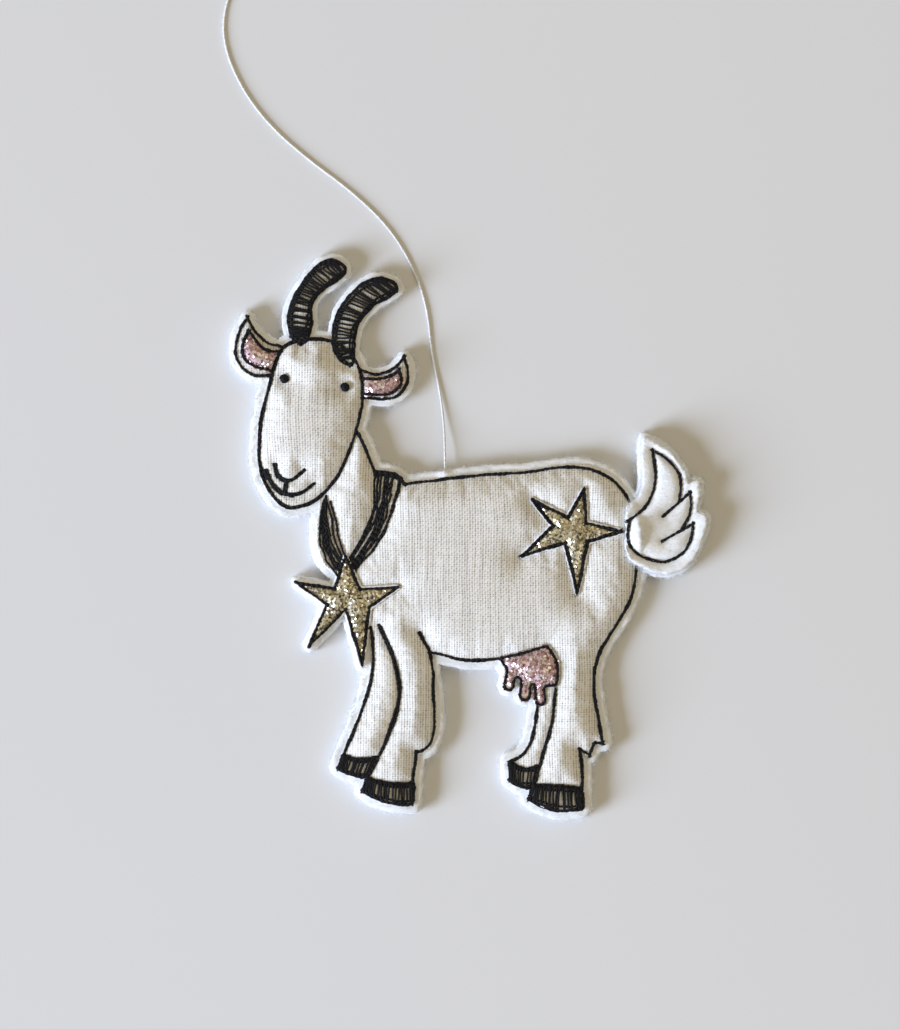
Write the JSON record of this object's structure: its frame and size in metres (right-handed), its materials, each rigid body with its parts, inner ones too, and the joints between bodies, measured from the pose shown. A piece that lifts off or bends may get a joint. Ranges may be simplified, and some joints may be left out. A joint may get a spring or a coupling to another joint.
{
  "type": "hanging goat decoration",
  "caption": "Flat padded hanging decoration in the shape of a goat, linen applique on felt with machine stitching, glitter stars and a hanging thread.",
  "frame": {"origin": "middle of the goat's outline box, on the face that the back felt rests on", "axes": "+X towards the goat's tail, +Y towards its horns, +Z out of its front"},
  "size_m": [0.1002, 0.1714, 0.0055],
  "materials": {
    "white_felt": "soft white craft felt with loose fibres at its cut edges",
    "linen": "off-white plain-weave linen, matt",
    "wadding": "soft white wadding",
    "pink_glitter": "pink fabric with fine glitter",
    "gold_glitter": "pale gold fabric with coarse glitter",
    "black_thread": "black machine-sewing thread, slight sheen",
    "white_thread": "white sewing thread, smooth"
  },
  "bodies": {
    "root": {"back_stitching": "black_thread", "body_stitching": "black_thread", "collar_stitching": "black_thread", "ear_left_stitching": "black_thread", "ear_right_stitching": "black_thread", "eye_left": "black_thread", "eye_right": "black_thread", "far_fore_hoof_stitching": "black_thread", "far_hind_hoof_stitching": "black_thread", "felt_back": "white_felt", "felt_front": "white_felt", "felt_tail": "white_felt", "flank_star": "gold_glitter", "flank_star_stitching": "black_thread", "hanging_thread": "white_thread", "head_stitching": "black_thread", "horn_left_stitching": "black_thread", "horn_right_stitching": "black_thread", "inner_ear_left": "pink_glitter", "inner_ear_left_stitching": "black_thread", "inner_ear_right": "pink_glitter", "inner_ear_right_stitching": "black_thread", "leg_line_stitching": "black_thread", "linen_goat": "linen", "near_fore_hoof_stitching": "black_thread", "near_hind_hoof_stitching": "black_thread", "nose_mouth_stitching": "black_thread", "pendant_star": "gold_glitter", "pendant_star_stitching": "black_thread", "tail_stitching": "black_thread", "thread_anchor": "white_thread", "thread_coil": "white_thread", "thread_knot": "white_thread", "udder": "pink_glitter", "udder_stitching": "black_thread", "wadding": "wadding"}
  },
  "joints": []
}
